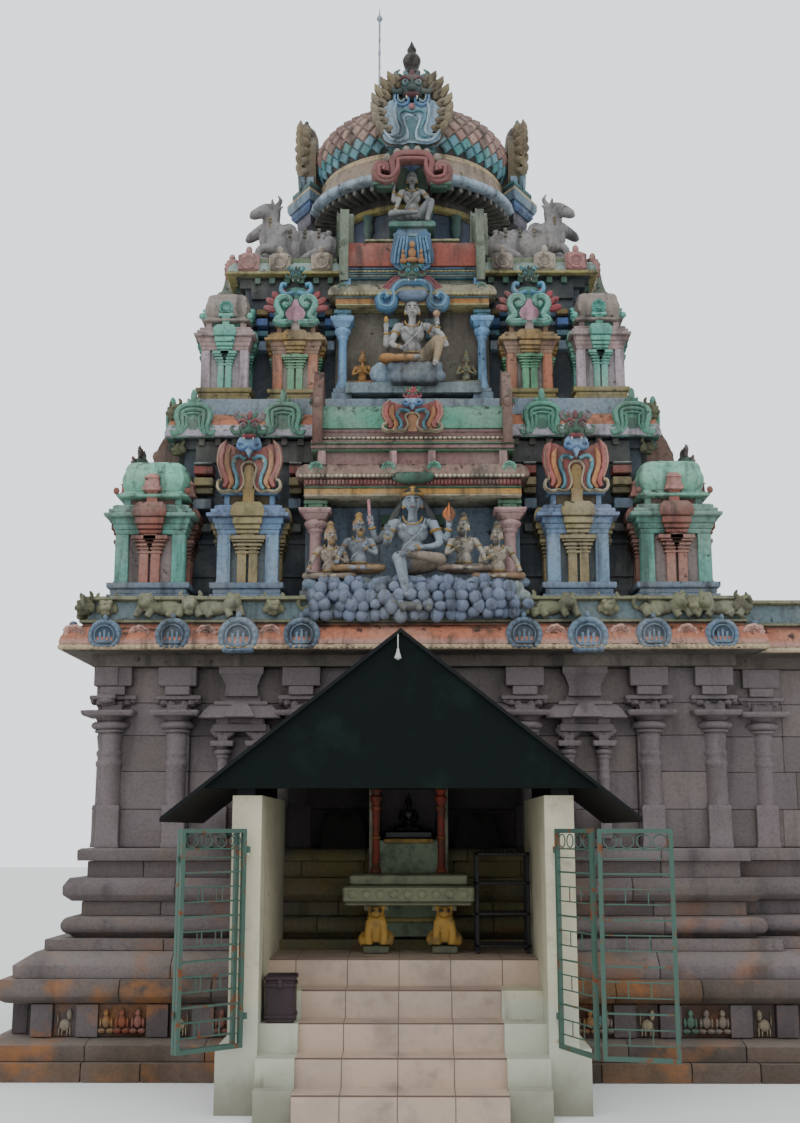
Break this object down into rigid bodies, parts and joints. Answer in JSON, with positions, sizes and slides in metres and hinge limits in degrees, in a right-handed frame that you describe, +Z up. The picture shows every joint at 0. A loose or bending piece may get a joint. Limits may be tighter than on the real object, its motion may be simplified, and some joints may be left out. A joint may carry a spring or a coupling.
{
  "type": "south indian shrine tower with gated porch",
  "caption": "Small stone shrine with a painted, stepped storey tower, ribbed dome and finial, and a gabled front porch with steps and folding steel gates.",
  "frame": {"origin": "centre of the tower's square plan at ground level", "axes": "+Z up along the tower's axis, -Y towards the porch and steps, +X towards the adjoining hall"},
  "size_m": [8.2, 9.1839, 12.05],
  "materials": {
    "grey_stone": "weathered ashlar",
    "brown_stone": "weathered ashlar",
    "terracotta_paint": "faded painted plaster",
    "olive_paint": "faded painted plaster",
    "slate_paint": "faded painted plaster",
    "teal_paint": "faded painted plaster",
    "pink_paint": "faded painted plaster",
    "sea_green_paint": "faded painted plaster",
    "lilac_paint": "faded painted plaster",
    "figure_grey": "faded painted plaster",
    "dome_scales": "faded painted plaster",
    "dark_bronze": "dark tarnished metal",
    "rod_steel": "dull",
    "cream_paint": "limewashed plaster",
    "marble": "worn polished marble",
    "roof_sheet": "matt sheet",
    "board_green": "painted board",
    "black_stone": "oiled",
    "altar_paint": "painted plaster",
    "dark_iron": "rough",
    "gate_paint": "worn gloss with rust",
    "box_brown": "painted"
  },
  "bodies": {
    "building": {"plinth_courses": "brown_stone", "base_mouldings": "grey_stone", "front_wall_left": "grey_stone", "front_wall_centre": "grey_stone", "front_wall_right": "grey_stone", "back_wall": "grey_stone", "left_wall": "grey_stone", "right_wall_front": "grey_stone", "right_wall_back": "grey_stone", "right_door_lintel": "grey_stone", "hall_front_wall": "grey_stone", "hall_back_wall": "grey_stone", "hall_end_front": "grey_stone", "hall_end_back": "grey_stone", "hall_end_lintel": "grey_stone", "main_cornice": "terracotta_paint", "beast_frieze": "olive_paint", "storey_1_core": "slate_paint", "storey_1_centre_front": "pink_paint", "storey_1_centre_right": "pink_paint", "storey_1_centre_back": "pink_paint", "storey_1_centre_left": "pink_paint", "storey_1_corner_front_left": "teal_paint", "storey_1_corner_front_right": "teal_paint", "storey_1_corner_back_left": "teal_paint", "storey_1_corner_back_right": "teal_paint", "storey_1_eaves": "sea_green_paint", "storey_2_core": "slate_paint", "storey_2_corner_front_left": "pink_paint", "storey_2_corner_front_right": "pink_paint", "storey_2_corner_back_left": "pink_paint", "storey_2_corner_back_right": "pink_paint", "platform_with_bulls": "lilac_paint", "neck": "slate_paint", "neck_eaves": "teal_paint", "dome": "dome_scales", "finial": "dark_bronze", "lightning_rod": "rod_steel", "teacher_group": "figure_grey", "storey_2_figure": "figure_grey", "neck_figure": "figure_grey", "neck_figure_right": "figure_grey", "neck_figure_left": "figure_grey", "porch_wall_left": "cream_paint", "porch_wall_right": "cream_paint", "stair_flight": "marble", "landing": "marble", "cheek_left": "cream_paint", "cheek_right": "cream_paint", "porch_roof": "roof_sheet", "gable_board": "board_green", "altar_table": "altar_paint", "niche_frame": "altar_paint", "niche_image": "black_stone", "offering_box": "box_brown", "iron_stand": "dark_iron"},
    "left_post_leaf": {"gate_left_post_leaf": "gate_paint"},
    "left_fold_leaf": {"gate_left_fold_leaf": "gate_paint"},
    "right_post_leaf": {"gate_right_post_leaf": "gate_paint"},
    "right_fold_leaf": {"gate_right_fold_leaf": "gate_paint"}
  },
  "joints": [
    {"name": "left_gate_hinge", "type": "hinge", "parent": "building", "child": "left_post_leaf", "pos_m": [-1.195, -4.905, 0.7], "axis": [0, 0, -1], "range_deg": [-138, 7]},
    {"name": "left_gate_fold", "type": "hinge", "parent": "left_post_leaf", "child": "left_fold_leaf", "pos_m": [-1.6407, -5.28277, 0.74], "axis": [0, 0, -1], "range_deg": [-180, 0]},
    {"name": "right_gate_hinge", "type": "hinge", "parent": "building", "child": "right_post_leaf", "pos_m": [1.024, -4.905, 0.7], "axis": [0, 0, 1], "range_deg": [-111, 34]},
    {"name": "right_gate_fold", "type": "hinge", "parent": "right_post_leaf", "child": "right_fold_leaf", "pos_m": [1.24962, -5.44394, 0.74], "axis": [0, 0, 1], "range_deg": [-57, 123]}
  ]
}
